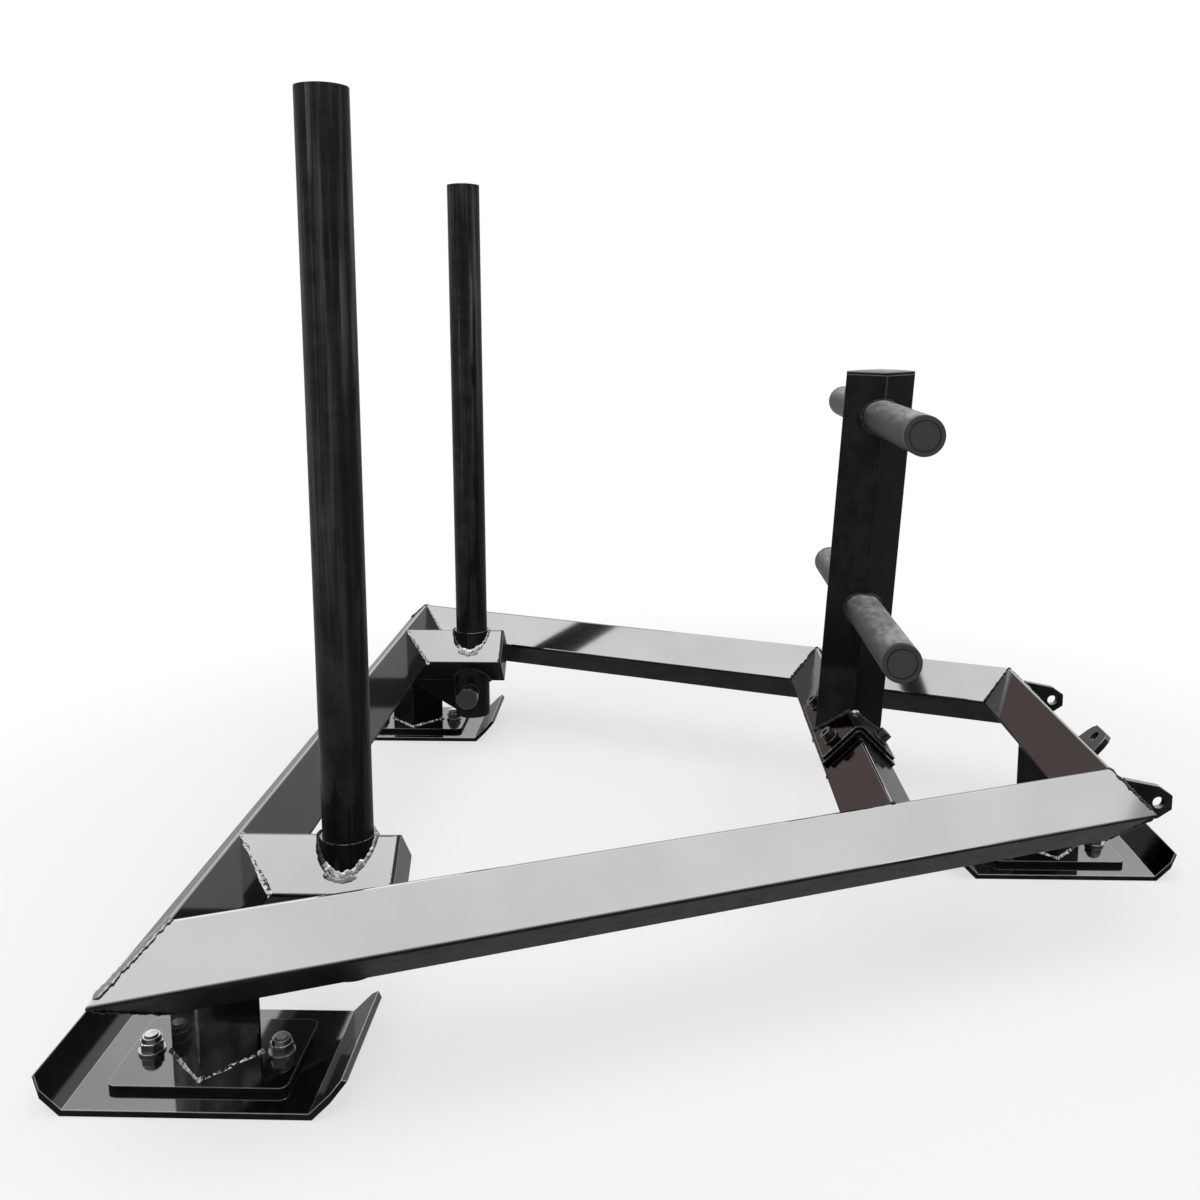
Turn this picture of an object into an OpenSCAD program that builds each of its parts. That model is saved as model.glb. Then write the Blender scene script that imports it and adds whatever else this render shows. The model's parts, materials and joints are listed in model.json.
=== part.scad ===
// Push and drag sled: a tapered frame of square tube set on edge, two lift-out
// push poles, a bolted mast with two cross handles, and three bolted skids.
// +X is forwards, +Y is the left side, +Z is up. The origin is on the ground,
// midway between the rear and the front rail, on the centre line.

/* [Frame] */
// Distance between the axes of the rear and the front rail
frame_l = 900; // [800:10:1100]
// Half of the rear rail's length, measured along its ridge
rear_half_w = 530; // [500:5:620]
// Half of the front rail's length, measured along its ridge
front_half_w = 185; // [170:5:260]
// Height of the rail axes above the ground
axis_z = 145; // [140:1:180]
// Distance from the rear rail's axis to the mid rail's axis
mid_back = 642; // [560:2:700]

/* [Square tube] */
// Outside size of the square tube
tube_s = 60; // [56:1:64]
// Wall of the square tube
tube_wall = 3; // [2:0.5:5]
// Outside corner radius of the square tube
tube_r = 3; // [2:0.5:7]

/* [Pole stubs and sockets] */
// Distance between the two push poles
pole_spacing = 735; // [600:5:760]
// Distance from the rear rail's axis to the poles
pole_back = 106; // [96:1:130]
// Length of a stub from the rear rail's axis to its open end
stub_l = 153; // [145:1:190]
// Thickness of a stub's end cap
stub_cap_t = 4; // [2:0.5:8]
// Outside diameter of a socket sleeve
sleeve_d = 53; // [52.5:0.5:60]
// Height of a sleeve's lower end above the ground
sleeve_low = 50; // [42:1:60]
// How far a sleeve's rim stands above the stub's ridge
sleeve_rim = 1; // [0:0.5:12]
// Thickness of the floor that the pole stands on
sleeve_floor = 5; // [3:0.5:10]
// Drain hole in the socket's floor
drain_d = 12; // [6:1:20]
// Thickness of the gusset behind a sleeve
gusset_t = 6; // [3:0.5:10]
// Height of the gusset's lower tip above the sleeve's lower end
gusset_rise = 6; // [2:1:12]

/* [Push poles] */
// Outside diameter of a push pole
pole_d = 48.3; // [42:0.1:49]
// Wall of a push pole
pole_wall = 3; // [2:0.5:5]
// Height of a pole's top above the ground
pole_top = 880; // [700:10:1000]
// Height of a pole's domed end cap
pole_cap_h = 6; // [4:0.5:12]
// Running clearance between a pole and its sleeve, on the radius
pole_gap = 0.3; // [0.2:0.05:0.8]

/* [Pole locks] */
// Height of the lock screw's axis above the ground
lock_z = 92; // [85:1:98]
// Diameter of the lock screw
lock_d = 12; // [8:1:14]
// Running clearance around the lock screw, on the radius
lock_gap = 0.08; // [0.05:0.01:0.1]
// Diameter of the threaded boss on the sleeve
boss_d = 24; // [20:1:28]
// How far the boss stands out from the sleeve
boss_l = 10; // [6:1:16]
// Bare length of screw between the boss and the knob
lock_bare = 10; // [3:1:15]
// Diameter of the knob
knob_d = 33; // [28:1:45]
// Thickness of the knob
knob_t = 14; // [10:1:22]
// Number of finger flutes round the knob
knob_flutes = 12; // [6:1:16]

/* [Mast] */
// Height of the mast's top above the ground
mast_top = 616; // [600:1:760]
// Forward lean of the mast, in degrees
mast_lean = 3.6; // [0:0.2:6]
// Thickness of the mast's cap along its edges
mast_cap_t = 4; // [3:0.5:8]
// Edge radius of the mast's cap
mast_cap_r = 2; // [0.5:0.5:2.5]
// How far the cap's crown rises above its edges
mast_crown = 2; // [1:0.5:6]
// Thickness of each folded saddle plate
saddle_t = 5; // [3:0.5:7]
// Length of the saddle plates along the mid rail
saddle_l = 176; // [170:2:220]
// Width of the upper saddle plate's flanks, down from the rail's ridge
saddle_flank = 51; // [48:1:54]
// How far the lower saddle plate's flanks reach below the upper one's
saddle_step = 6; // [1:0.5:6]
// How much tighter each fold is bent than what it lies on, on the radius
fold_play = 1.5; // [0.1:0.1:1.5]
// Distance of the saddle screws from the mast's centre, along the rail
screw_out = 62; // [57:1:72]
// Distance of the saddle screws from the fold, along the flank
screw_down = 31; // [27:1:36]

/* [Handles] */
// Diameter of the upper cross handle
upper_bar_d = 42.4; // [30:0.1:48]
// Diameter of the lower cross handle
lower_bar_d = 42.4; // [30:0.1:48]
// Wall of the handle tubes
bar_wall = 3; // [2:0.5:5]
// Overall length of each handle with its plugs
bar_l = 510; // [300:10:600]
// Height of the upper handle above the ground
upper_bar_z = 560; // [480:2:572]
// Height of the lower handle above the ground
lower_bar_z = 325; // [280:1:420]
// Thickness of a plug's head
plug_t = 5; // [3:0.5:10]
// Length of a plug's spigot inside the tube
plug_in = 18; // [10:1:30]
// Width of the groove in a plug's face
plug_groove = 1.6; // [1:0.2:3]

/* [Legs and skids] */
// Distance of the rear legs from the ends of the rear rail's ridge
leg_inset = 85; // [65:1:115]
// Length of a foot plate
foot_l = 160; // [150:2:190]
// Width of a foot plate
foot_w = 100; // [94:2:130]
// Thickness of a foot plate
foot_t = 6; // [4:0.5:10]
// Corner radius of a foot plate
foot_r = 8; // [3:1:15]
// Length of a skid's flat sole
skid_l = 218; // [204:2:260]
// Width of a skid
skid_w = 148; // [136:2:180]
// Thickness of a skid
skid_t = 6; // [6:0.5:8]
// Length of a skid's turned-up end
skid_lip = 40; // [25:1:60]
// Angle of a skid's turned-up end
skid_turn = 45; // [30:1:60]
// Chamfer on the corners of a skid's turned-up ends
skid_chamfer = 12; // [4:1:20]

/* [Tow lugs] */
// Distance of the outer tow lugs from the ends of the front rail's ridge
lug_inset = 11; // [9:1:35]
// Thickness of the tow lugs
lug_t = 8; // [5:0.5:10]
// Diameter of the holes in the tow lugs
lug_hole = 13; // [10:0.5:15]
// Distance from the front rail's axis to an outer lug's hole
lug_reach = 58; // [57:1:70]
// Distance from the front rail's edge to the centre lug's hole
tongue_reach = 15; // [13:1:25]

/* [Fasteners] */
// Thread size of the skid bolts
bolt_d = 12; // [10:0.5:12]
// Distance of the skid bolts from the leg's axis
bolt_out = 60; // [58:1:64]
// Thread size of the saddle screws
screw_d = 10; // [8:0.5:10]
// Clearance of the bolt and screw holes, on the radius
hole_gap = 0.5; // [0.2:0.1:1]
// Gap left round welded and pushed-in pieces, on the radius
weld_gap = 0.1; // [0.05:0.05:0.3]

/* [Hidden] */
$fn = 64;
arc_steps = 5;
root2 = sqrt(2);
half_d = tube_s / root2;
rear_x = -frame_l / 2;
front_x = frame_l / 2;
mid_x = rear_x + mid_back;
pole_x = rear_x + pole_back;
pole_y = pole_spacing / 2;
stub_end = rear_x + stub_l;
leg_out = rear_half_w - leg_inset;
lug_out = front_half_w - lug_inset;
side_angle = atan2(rear_half_w - front_half_w, frame_l);
side_len = norm([frame_l, rear_half_w - front_half_w]);
mitre_reach = 6 * tube_s;
ridge_z = axis_z + half_d;
keel_z = axis_z - half_d;
sleeve_top = ridge_z + sleeve_rim;
pole_foot = sleeve_low + sleeve_floor + pole_gap;
boss_end = sleeve_d / 2 + boss_l;
knob_start = boss_end + lock_bare;
screw_tip = pole_d / 2 + pole_gap;
stack_t = 2 * saddle_t;
lower_fold_r = tube_r - fold_play;
upper_fold_r = lower_fold_r + saddle_t - fold_play;
cap_bed = mast_top - mast_crown - mast_cap_t;
sole_z = skid_t + foot_t;
washer_t = 2.5;
nut_h = 8;
nut_collar_h = 4.5;
nut_af = 1.5 * bolt_d + 1;
head_sink = 5;
screw_head_d = 1.6 * screw_d;
screw_washer_t = 2;
weld_nut_h = 8;
weld_nut_af = 1.7 * screw_d;
tongue_lap = 34;
tongue_half = 25;

black_coat = "#1b1b1d";
zinc = "#b9bcbf";
brushed = "#8e8e90";
black_oxide = "#2a2a2c";
dark_plastic = "#3b3b3d";

// Outlines

// Rectangle with round corners, as a list of points
function rounded_rect(lx, ly, r) = [
    for (q = [0:3])
    for (i = [0:arc_steps])
    let (a = 90 * q + 90 * i / arc_steps)
    let (sx = (q == 0 || q == 3) ? 1 : -1)
    let (sy = q < 2 ? 1 : -1)
    [sx * (lx / 2 - r) + r * cos(a), sy * (ly / 2 - r) + r * sin(a)]
];

// Point on the front upper flank of a tube set on edge: u runs down from the
// ridge and o stands off the face
function flank(u, o) = [(u + o) / root2, half_d + (o - u) / root2];

// One side of a folded plate over the ridge: reach is its width down each
// flank, o its offset from the tube's faces and r the radius of the fold
function fold(reach, o, r) = concat(
    [flank(reach, o)],
    [
        for (i = [0:2 * arc_steps])
        let (a = 45 + 45 * i / arc_steps)
        [r * cos(a), half_d + (o - r) * root2 + r * sin(a)]
    ],
    [[-flank(reach, o)[0], flank(reach, o)[1]]]
);

function backwards(points) = [for (i = [len(points) - 1:-1:0]) points[i]];

// Folded plate whose underside lies o off the tube's faces and is bent to r
function saddle_outline(reach, o, r) = concat(
    fold(reach, o + saddle_t, r + saddle_t),
    backwards(fold(reach, o, r))
);

// Section of a crowned bar: upright sides, rounded edges and an arched top
function crowned_section(w, h, r, crown) =
    let (
        a = w / 2 - r,
        arch = (a * a + crown * crown) / (2 * crown),
        turn = asin(a / arch)
    )
    concat(
        [[-w / 2, 0], [w / 2, 0]],
        [
            for (i = [0:arc_steps])
            let (t = (90 - turn) * i / arc_steps)
            [a + r * cos(t), h - r + r * sin(t)]
        ],
        [
            for (i = [1:2 * arc_steps - 1])
            let (t = 90 - turn + turn * i / arc_steps)
            [(arch + r) * cos(t), h - r + crown - arch + (arch + r) * sin(t)]
        ],
        [
            for (i = [0:arc_steps])
            let (t = 90 + turn + (90 - turn) * i / arc_steps)
            [-a + r * cos(t), h - r + r * sin(t)]
        ]
    );

// Half the distance across the corners of a hexagon
function hex_r(af) = af / 2 / cos(30);

// Square tube

module tube_section() {
    difference() {
        polygon(rounded_rect(tube_s, tube_s, tube_r));
        square(tube_s - 2 * tube_wall, center = true);
    }
}

// Tube set on edge, along +X from x = 0
module edge_tube(l) {
    rotate([90, 0, 90])
        linear_extrude(l)
            rotate(45)
                tube_section();
}

// The same tube's outside, sharp-edged, for coping what meets its flat faces
module edge_prism(l) {
    rotate([90, 0, 90])
        linear_extrude(l)
            rotate(45)
                square(tube_s, center = true);
}

// The same tube's outside with its round edges
module edge_bar(l) {
    rotate([90, 0, 90])
        linear_extrude(l)
            rotate(45)
                polygon(rounded_rect(tube_s, tube_s, tube_r));
}

// Square tube standing with its edges on X and Y, from z = 0
module upright_tube(l) {
    rotate([0, 0, 45])
        linear_extrude(l)
            tube_section();
}

// Everything beyond a vertical plane through p that faces the angle a
module beyond(p, a) {
    translate([p[0], p[1], axis_z])
        rotate([0, 0, a])
            translate([0, -mitre_reach / 2, -mitre_reach / 2])
                cube(mitre_reach);
}

module along_y(x, half) {
    translate([x, -half, axis_z])
        rotate([0, 0, 90])
            children();
}

module on_right_side() {
    translate([rear_x, -rear_half_w, axis_z])
        rotate([0, 0, side_angle])
            children();
}

module on_left_side() {
    mirror([0, 1, 0])
        on_right_side()
            children();
}

// s is 1 for the left side and -1 for the right side
module side(s) {
    if (s > 0) {
        children();
    } else {
        mirror([0, 1, 0])
            children();
    }
}

// Frame rails

module cross_rail(x, half, cut) {
    color(black_coat)
        difference() {
            along_y(x, half + tube_s)
                edge_tube(2 * (half + tube_s));
            beyond([x, -half], cut);
            mirror([0, 1, 0])
                beyond([x, -half], cut);
        }
}

module rear_rail() {
    cross_rail(rear_x, rear_half_w, side_angle / 2 - 45);
}

module front_rail() {
    cross_rail(front_x, front_half_w, 225 + side_angle / 2);
}

// Modelled on the right side
module side_rail() {
    color(black_coat)
        difference() {
            on_right_side()
                translate([-2 * tube_s, 0, 0])
                    edge_tube(side_len + 4 * tube_s);
            beyond([rear_x, -rear_half_w], 135 + side_angle / 2);
            beyond([front_x, -front_half_w], 45 + side_angle / 2);
        }
}

module mid_rail() {
    half = rear_half_w - mid_back * tan(side_angle);
    color(black_coat)
        difference() {
            along_y(mid_x, half)
                edge_tube(2 * half);
            on_right_side()
                edge_prism(side_len);
            on_left_side()
                edge_prism(side_len);
            saddle_screw_places()
                translate([0, 0, -tube_wall - 1])
                    cylinder(h = tube_wall + 2, d = screw_d + 2 * hole_gap);
        }
}

// Stubs and sockets, modelled on the left side

module sleeve_space(d, low, high) {
    translate([pole_x, pole_y, low])
        cylinder(h = high - low, d = d);
}

module stub() {
    color(black_coat)
        difference() {
            translate([rear_x, pole_y, axis_z])
                edge_tube(stub_l);
            along_y(rear_x, rear_half_w)
                edge_prism(2 * rear_half_w);
            sleeve_space(sleeve_d + 2 * weld_gap, sleeve_low, sleeve_top + tube_s);
        }
}

module stub_cap() {
    color(black_coat)
        translate([stub_end, pole_y, axis_z])
            edge_bar(stub_cap_t);
}

module socket() {
    color(black_coat)
        difference() {
            sleeve_space(sleeve_d, sleeve_low, sleeve_top);
            sleeve_space(pole_d + 2 * pole_gap, sleeve_low + sleeve_floor, sleeve_top + 1);
            sleeve_space(drain_d, sleeve_low - 1, sleeve_low + sleeve_floor + 1);
            lock_place()
                cylinder(h = sleeve_d, d = lock_d + 2 * lock_gap);
        }
}

module gusset() {
    tip_z = sleeve_low + gusset_rise;
    color(black_coat)
        difference() {
            translate([0, pole_y + gusset_t / 2, 0])
                rotate([90, 0, 0])
                    linear_extrude(gusset_t)
                        polygon([
                            [pole_x, tip_z],
                            [pole_x, axis_z],
                            [rear_x, axis_z],
                            [rear_x, keel_z + gusset_t / 2],
                            [pole_x - sleeve_d / 2, tip_z]
                        ]);
            translate([rear_x, pole_y, axis_z])
                edge_bar(stub_l);
            along_y(rear_x, rear_half_w)
                edge_bar(2 * rear_half_w);
            sleeve_space(sleeve_d + 2 * weld_gap, sleeve_low - 1, sleeve_top);
        }
}

// Lock screw axis: z runs out of the sleeve, towards the centre line
module lock_place() {
    translate([pole_x, pole_y, lock_z])
        rotate([90, 0, 0])
            children();
}

module lock_boss() {
    color(black_coat)
        difference() {
            lock_place()
                cylinder(h = boss_end, d = boss_d);
            lock_place()
                translate([0, 0, -1])
                    cylinder(h = boss_end + 2, d = lock_d + 2 * lock_gap);
            sleeve_space(sleeve_d + 2 * weld_gap, sleeve_low, sleeve_top);
        }
}

module lock_screw() {
    stem = knob_start + knob_t / 2 - screw_tip;
    color(black_oxide)
        lock_place()
            translate([0, 0, screw_tip])
                rotate_extrude()
                    polygon([
                        [0, 0],
                        [lock_d / 2 - 1, 0],
                        [lock_d / 2, 1],
                        [lock_d / 2, stem],
                        [0, stem]
                    ]);
}

module lock_knob() {
    bevel = 1.5;
    flute_d = 4;
    color(dark_plastic)
        lock_place()
            translate([0, 0, knob_start])
                difference() {
                    rotate_extrude()
                        polygon([
                            [0, 0],
                            [knob_d / 2 - bevel, 0],
                            [knob_d / 2, bevel],
                            [knob_d / 2, knob_t - bevel],
                            [knob_d / 2 - bevel, knob_t],
                            [0, knob_t]
                        ]);
                    translate([0, 0, -1])
                        cylinder(h = knob_t / 2 + 1 + lock_gap, d = lock_d + 2 * lock_gap);
                    for (i = [0:knob_flutes - 1])
                        rotate([0, 0, 360 * i / knob_flutes])
                            translate([knob_d / 2 + 1, 0, -1])
                                cylinder(h = knob_t + 2, d = flute_d);
                }
}

// Push poles

module pole() {
    color(black_coat)
        difference() {
            translate([pole_x, pole_y, pole_foot])
                cylinder(h = pole_top - pole_cap_h - pole_foot, d = pole_d);
            translate([pole_x, pole_y, pole_foot - 1])
                cylinder(h = pole_top, d = pole_d - 2 * pole_wall);
        }
}

module pole_cap() {
    edge_h = 2.5;
    dome_h = pole_cap_h - edge_h;
    dome_r = (pow(pole_d / 2, 2) + pow(dome_h, 2)) / (2 * dome_h);
    dome_a = asin(pole_d / 2 / dome_r);
    color(black_coat)
        translate([pole_x, pole_y, pole_top - pole_cap_h])
            rotate_extrude()
                polygon(concat(
                    [[0, 0], [pole_d / 2, 0]],
                    [
                        for (i = [arc_steps:-1:0])
                        let (a = dome_a * i / arc_steps)
                        [dome_r * sin(a), pole_cap_h - dome_r + dome_r * cos(a)]
                    ]
                ));
}

// Mast and saddle

module saddle_plate(reach, o, r) {
    color(black_coat)
        difference() {
            translate([mid_x, saddle_l / 2, axis_z])
                rotate([90, 0, 0])
                    linear_extrude(saddle_l)
                        polygon(saddle_outline(reach, o, r));
            saddle_screw_places()
                translate([0, 0, -1])
                    cylinder(h = stack_t + 2, d = screw_d + 2 * hole_gap);
        }
}

module rail_saddle() {
    saddle_plate(saddle_flank + saddle_step, 0, lower_fold_r);
}

module mast_saddle() {
    saddle_plate(saddle_flank, saddle_t, upper_fold_r);
}

// Each saddle screw: z stands off the tube's flank, from z = 0 on the face
module saddle_screw_places() {
    for (f = [-1, 1])
        for (e = [-1, 1])
            translate([mid_x, e * screw_out, axis_z])
                rotate([0, f * 45, 0])
                    translate([f * (screw_down - tube_s / 2), 0, tube_s / 2])
                        children();
}

module saddle_screws() {
    reach = tube_wall + weld_nut_h + 1;
    socket_d = 0.8 * screw_d;
    color(black_oxide)
        saddle_screw_places() {
            translate([0, 0, -reach])
                cylinder(h = reach + stack_t + screw_washer_t, d = screw_d);
            translate([0, 0, stack_t + screw_washer_t])
                difference() {
                    cylinder(h = screw_d, d = screw_head_d);
                    translate([0, 0, screw_d / 2])
                        cylinder(h = screw_d, r = hex_r(socket_d), $fn = 6);
                }
        }
}

module saddle_washers() {
    color(zinc)
        saddle_screw_places()
            translate([0, 0, stack_t])
                difference() {
                    cylinder(h = screw_washer_t, d = 2 * screw_d);
                    translate([0, 0, -1])
                        cylinder(h = screw_washer_t + 2, d = screw_d + 2 * hole_gap);
                }
}

module saddle_nuts() {
    color(zinc)
        saddle_screw_places()
            translate([0, 0, -tube_wall - weld_nut_h])
                difference() {
                    cylinder(h = weld_nut_h, r = hex_r(weld_nut_af), $fn = 6);
                    translate([0, 0, -1])
                        cylinder(h = weld_nut_h + 2, d = screw_d + 2 * weld_gap);
                }
}

// The mast's own frame: z runs up its leaning axis from the mid rail's axis
module on_mast() {
    translate([mid_x, 0, axis_z])
        rotate([0, mast_lean, 0])
            children();
}

function mast_run(z) = (z - axis_z) / cos(mast_lean);
function mast_at(z) = mid_x + (z - axis_z) * tan(mast_lean);

module bar_space(d, z) {
    translate([mast_at(z), saddle_l, z])
        rotate([90, 0, 0])
            cylinder(h = 2 * saddle_l, d = d);
}

// The tube stands astride the folded plates and is cut level at its top
module mast() {
    color(black_coat)
        difference() {
            on_mast()
                upright_tube(mast_run(mast_top) + tube_s);
            translate([mid_x, saddle_l / 2, axis_z])
                rotate([90, 0, 0])
                    linear_extrude(saddle_l)
                        polygon(fold(3 * tube_s, stack_t, upper_fold_r + saddle_t));
            translate([mast_at(cap_bed) - tube_s, -tube_s, cap_bed])
                cube([2 * tube_s, 2 * tube_s, 3 * tube_s]);
            bar_space(upper_bar_d + 2 * weld_gap, upper_bar_z);
            bar_space(lower_bar_d + 2 * weld_gap, lower_bar_z);
        }
}

// Level cap closing the mast, with rounded edges and a low crown
module mast_cap() {
    color(black_coat)
        translate([mast_at(cap_bed), 0, cap_bed])
            rotate([0, 0, 45])
                intersection() {
                    linear_extrude(mast_cap_t + mast_crown)
                        polygon(rounded_rect(tube_s, tube_s, tube_r));
                    crowned_bar();
                    rotate([0, 0, 90])
                        crowned_bar();
                }
}

module crowned_bar() {
    translate([0, tube_s, 0])
        rotate([90, 0, 0])
            linear_extrude(2 * tube_s)
                polygon(crowned_section(tube_s, mast_cap_t, mast_cap_r, mast_crown));
}

// Handles

module handle(d, z) {
    run = bar_l - 2 * plug_t;
    color(brushed)
        translate([mast_at(z), run / 2, z])
            rotate([90, 0, 0])
                difference() {
                    cylinder(h = run, d = d);
                    translate([0, 0, -1])
                        cylinder(h = run + 2, d = d - 2 * bar_wall);
                }
}

module plug(d, z) {
    spigot_r = d / 2 - bar_wall - weld_gap;
    edge = 0.8;
    ring_r = 0.35 * d;
    color(dark_plastic)
        translate([mast_at(z), bar_l / 2 - plug_t, z])
            rotate([-90, 0, 0])
                rotate_extrude()
                    polygon([
                        [0, -plug_in],
                        [spigot_r, -plug_in],
                        [spigot_r, 0],
                        [d / 2, 0],
                        [d / 2, plug_t - edge],
                        [d / 2 - edge, plug_t],
                        [ring_r + plug_groove, plug_t],
                        [ring_r + plug_groove, plug_t - plug_groove],
                        [ring_r, plug_t - plug_groove],
                        [ring_r, plug_t],
                        [0, plug_t]
                    ]);
}

// Legs, foot plates and skids, each at its leg's place

module leg_at(x, y) {
    translate([x, y, 0])
        children();
}

module leg() {
    color(black_coat)
        difference() {
            translate([0, 0, sole_z])
                upright_tube(axis_z - sole_z);
            translate([0, -tube_s, axis_z])
                rotate([0, 0, 90])
                    edge_prism(2 * tube_s);
        }
}

// The front leg, coped under the centre tow lug
module front_leg() {
    color(black_coat)
        difference() {
            leg_at(front_x, 0)
                leg();
            on_tongue()
                translate([-tongue_lap, -tongue_half, -lug_t])
                    cube([2 * tongue_lap, 2 * tongue_half, 2 * lug_t]);
        }
}

module foot_bolt_places() {
    for (e = [-1, 1])
        translate([e * bolt_out, 0, 0])
            children();
}

module foot_plate() {
    color(black_coat)
        difference() {
            translate([0, 0, skid_t])
                linear_extrude(foot_t)
                    polygon(rounded_rect(foot_l, foot_w, foot_r));
            foot_bolt_places()
                cylinder(h = sole_z + 1, d = bolt_d + 2 * hole_gap);
        }
}

// One side of a skid in profile: the sole and the turned-up end
module skid_profile() {
    knee = skid_l / 2;
    rise = skid_t * tan(skid_turn / 2);
    cx = cos(skid_turn);
    sx = sin(skid_turn);
    polygon([
        [-knee - skid_lip * cx, skid_lip * sx],
        [-knee, 0],
        [knee, 0],
        [knee + skid_lip * cx, skid_lip * sx],
        [knee + skid_lip * cx - skid_t * sx, skid_lip * sx + skid_t * cx],
        [knee - rise, skid_t],
        [-knee + rise, skid_t],
        [-knee - skid_lip * cx + skid_t * sx, skid_lip * sx + skid_t * cx]
    ]);
}

module skid() {
    end_x = skid_l / 2 + skid_lip * cos(skid_turn);
    cut = skid_chamfer;
    color(black_coat)
        difference() {
            intersection() {
                translate([0, skid_w / 2, 0])
                    rotate([90, 0, 0])
                        linear_extrude(skid_w)
                            skid_profile();
                linear_extrude(2 * skid_lip)
                    polygon([
                        [end_x, skid_w / 2 - cut],
                        [end_x - cut, skid_w / 2],
                        [-end_x + cut, skid_w / 2],
                        [-end_x, skid_w / 2 - cut],
                        [-end_x, -skid_w / 2 + cut],
                        [-end_x + cut, -skid_w / 2],
                        [end_x - cut, -skid_w / 2],
                        [end_x, -skid_w / 2 + cut]
                    ]);
            }
            foot_bolt_places() {
                translate([0, 0, -1])
                    cylinder(h = skid_t + 2, d = bolt_d + 2 * hole_gap);
                sunk_head(hole_gap);
            }
        }
}

// Countersunk head below a skid's sole
module sunk_head(gap) {
    head_d = bolt_d + 2 * head_sink;
    translate([0, 0, gap > 0 ? -gap : 0])
        cylinder(h = head_sink + gap, d1 = head_d + 2 * gap, d2 = bolt_d);
}

module skid_bolts() {
    color(zinc)
        foot_bolt_places() {
            cylinder(h = sole_z + washer_t + nut_h + nut_collar_h + 2, d = bolt_d);
            sunk_head(0);
        }
}

module skid_washers() {
    color(zinc)
        foot_bolt_places()
            translate([0, 0, sole_z])
                difference() {
                    cylinder(h = washer_t, d = 2 * bolt_d);
                    translate([0, 0, -1])
                        cylinder(h = washer_t + 2, d = bolt_d + 2 * hole_gap);
                }
}

module skid_nuts() {
    color(zinc)
        foot_bolt_places()
            translate([0, 0, sole_z + washer_t])
                difference() {
                    union() {
                        cylinder(h = nut_h, r = hex_r(nut_af), $fn = 6);
                        translate([0, 0, nut_h])
                            cylinder(h = nut_collar_h, d1 = nut_af - 1, d2 = nut_af - 3);
                    }
                    translate([0, 0, -1])
                        cylinder(h = nut_h + nut_collar_h + 2, d = bolt_d + 2 * weld_gap);
                }
}

// Tow lugs

// Outer lug: a nose plate notched over the front rail's edge
module tow_lug() {
    lap = 22;
    root_half = 26;
    hole_half = 18.5;
    tip_half = 8;
    nose = lug_reach + 15;
    color(black_coat)
        difference() {
            translate([front_x, lug_out + lug_t / 2, axis_z])
                rotate([90, 0, 0])
                    linear_extrude(lug_t)
                        polygon([
                            [half_d - lap, root_half],
                            [lug_reach, hole_half],
                            [nose, tip_half],
                            [nose, -tip_half],
                            [lug_reach, -hole_half],
                            [half_d - lap, -root_half]
                        ]);
            translate([front_x + lug_reach, lug_out + lug_t, axis_z])
                rotate([90, 0, 0])
                    cylinder(h = 2 * lug_t, d = lug_hole);
            along_y(front_x, front_half_w + tube_s)
                edge_prism(2 * (front_half_w + tube_s));
        }
}

// Below the front rail's lower front face: x runs forwards from the rail's
// edge along the face, and z stands off it, from -lug_t to 0
module on_tongue() {
    translate([front_x, 0, axis_z])
        rotate([0, -45, 0])
            translate([tube_s / 2, 0, -tube_s / 2])
                children();
}

// Centre lug: a tongue lapped on the front rail's lower front face
module centre_tow_lug() {
    neck = 3;
    shoulder = 14;
    cheek = 22;
    tip = tongue_reach + 12.5;
    shoulder_half = 23;
    cheek_half = 20;
    tip_half = 15;
    color(black_coat)
        on_tongue()
            translate([0, 0, -lug_t])
                difference() {
                    linear_extrude(lug_t)
                        polygon([
                            [-tongue_lap, tongue_half],
                            [neck, tongue_half],
                            [shoulder, shoulder_half],
                            [cheek, cheek_half],
                            [tip, tip_half],
                            [tip, -tip_half],
                            [cheek, -cheek_half],
                            [shoulder, -shoulder_half],
                            [neck, -tongue_half],
                            [-tongue_lap, -tongue_half]
                        ]);
                    translate([tongue_reach, 0, -1])
                        cylinder(h = lug_t + 2, d = lug_hole);
                }
}

rear_rail();
front_rail();
mid_rail();
side(-1) side_rail();  // left_side_rail
side_rail();  // right_side_rail
side(1) stub();  // left_stub
side(-1) stub();  // right_stub
side(1) stub_cap();  // left_stub_cap
side(-1) stub_cap();  // right_stub_cap
side(1) socket();  // left_socket
side(-1) socket();  // right_socket
side(1) gusset();  // left_gusset
side(-1) gusset();  // right_gusset
side(1) lock_boss();  // left_lock_boss
side(-1) lock_boss();  // right_lock_boss
side(1) lock_screw();  // left_lock_screw
side(-1) lock_screw();  // right_lock_screw
side(1) lock_knob();  // left_lock_knob
side(-1) lock_knob();  // right_lock_knob
side(1) pole();  // left_pole
side(-1) pole();  // right_pole
side(1) pole_cap();  // left_pole_cap
side(-1) pole_cap();  // right_pole_cap
rail_saddle();
mast_saddle();
mast();
mast_cap();
saddle_screws();
saddle_washers();
saddle_nuts();
handle(upper_bar_d, upper_bar_z);  // upper_handle
handle(lower_bar_d, lower_bar_z);  // lower_handle
side(1) plug(upper_bar_d, upper_bar_z);  // upper_left_plug
side(-1) plug(upper_bar_d, upper_bar_z);  // upper_right_plug
side(1) plug(lower_bar_d, lower_bar_z);  // lower_left_plug
side(-1) plug(lower_bar_d, lower_bar_z);  // lower_right_plug
leg_at(rear_x, leg_out) leg();  // left_leg
leg_at(rear_x, -leg_out) leg();  // right_leg
front_leg();
leg_at(rear_x, leg_out) foot_plate();  // left_foot_plate
leg_at(rear_x, -leg_out) foot_plate();  // right_foot_plate
leg_at(front_x, 0) foot_plate();  // front_foot_plate
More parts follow.
